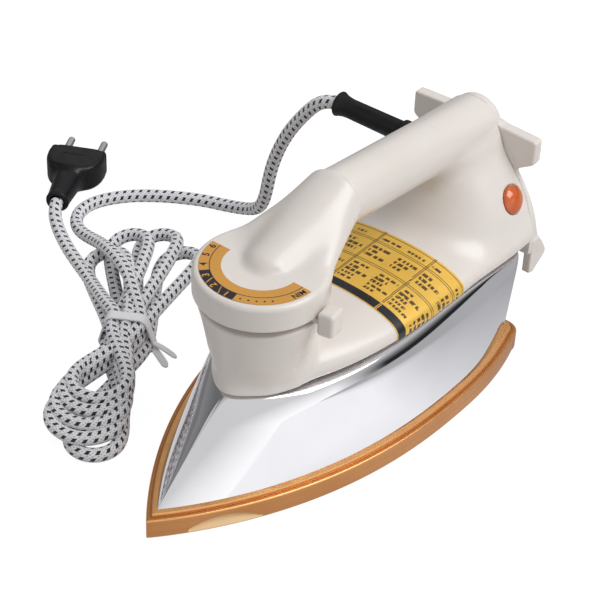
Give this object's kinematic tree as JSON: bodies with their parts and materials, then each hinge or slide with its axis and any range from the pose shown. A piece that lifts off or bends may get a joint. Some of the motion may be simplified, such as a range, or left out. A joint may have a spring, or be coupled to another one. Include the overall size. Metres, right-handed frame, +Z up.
{
  "type": "clothes iron",
  "caption": "Heavy dry iron with a chromed body, gold soleplate, cream handle with a thumb lever and dial, pilot lamp, and a braided mains cord tied in a hank.",
  "frame": {"origin": "centre of the iron's length and width, without its cord, on the plane the sole rests on", "axes": "+Z up from the sole, -Y to the nose, +X to the side with the pilot lamp"},
  "size_m": [0.2985, 0.2584, 0.1322],
  "materials": {
    "sole_gold": "satin gold-copper coated casting",
    "mica": "flaky translucent mica",
    "heater_ribbon": "dull nickel-chrome ribbon",
    "terminal_brass": "plain brass",
    "cast_iron": "rough sand-cast iron",
    "zinc_steel": "bright zinc-plated steel",
    "chrome": "mirror chrome plate",
    "cream_plastic": "glossy moulded cream-white plastic",
    "dial_print": "printed gold scale",
    "foil_label": "printed gold foil",
    "lamp_orange": "clear orange lens",
    "neon_glass": "clear glass with a warm glow",
    "resistor_tan": "lacquered carbon resistor",
    "porcelain": "glazed steatite",
    "clamp_white": "fibre board",
    "black_rubber": "soft matte black rubber",
    "braid": "white cotton braid with black flecks",
    "wire_brown": "silicone insulated wire",
    "wire_blue": "silicone insulated wire",
    "wire_green": "silicone insulated wire",
    "wire_white": "glass-fibre sleeved wire",
    "bimetal": "rolled bimetal",
    "silver": "silver contact metal",
    "tie_white": "flat white plastic tie",
    "plug_black": "moulded black vinyl",
    "pin_metal": "nickel-plated pins"
  },
  "bodies": {
    "iron": {"soleplate": "sole_gold", "mica_sheets": "mica", "heating_element": "heater_ribbon", "heater_terminals": "terminal_brass", "weight_plate": "cast_iron", "cover_studs": "zinc_steel", "chrome_cover": "chrome", "cover_nuts": "zinc_steel", "handle_body": "cream_plastic", "handle_screws": "zinc_steel", "front_cap": "cream_plastic", "cap_screw": "zinc_steel", "scale_label": "dial_print", "fabric_label": "foil_label", "rear_cover": "cream_plastic", "rear_cover_screws": "zinc_steel", "lamp_lens": "lamp_orange", "neon_lamp": "neon_glass", "lamp_resistor": "resistor_tan", "terminal_block": "porcelain", "terminal_screws": "terminal_brass", "cord_clamp": "clamp_white", "clamp_screws": "zinc_steel", "cord_sleeve": "black_rubber", "inner_cord": "braid", "cord_cores": "wire_brown", "live_wire": "wire_brown", "neutral_wire": "wire_blue", "earth_wire": "wire_green", "link_wire": "wire_white", "thermostat_bracket": "zinc_steel", "thermostat_rivets": "silver", "ceramic_spacers": "porcelain", "bimetal_strip": "bimetal", "contact_blades": "terminal_brass", "contact_points": "silver", "cord_lead": "braid", "cord_hank": "braid", "hank_tie": "tie_white", "cord_tail": "braid", "plug_body": "plug_black", "plug_pins": "pin_metal"},
    "lever": {"temperature_lever": "cream_plastic", "control_shaft": "zinc_steel"},
    "pusher": {"thermostat_pusher": "porcelain"}
  },
  "joints": [
    {"name": "temperature_turn", "type": "hinge", "parent": "iron", "child": "lever", "pos_m": [0, -0.0515, 0.0935], "axis": [0, 0, -1], "range_deg": [0, 172]},
    {"name": "pusher_slide", "type": "slide", "parent": "iron", "child": "pusher", "axis": [0, 0, -1], "range_m": [0, 0.0009]}
  ],
  "couplings": [
    {"joint": "pusher_slide", "follows": "temperature_turn", "m_per_rad": 0.00026}
  ]
}
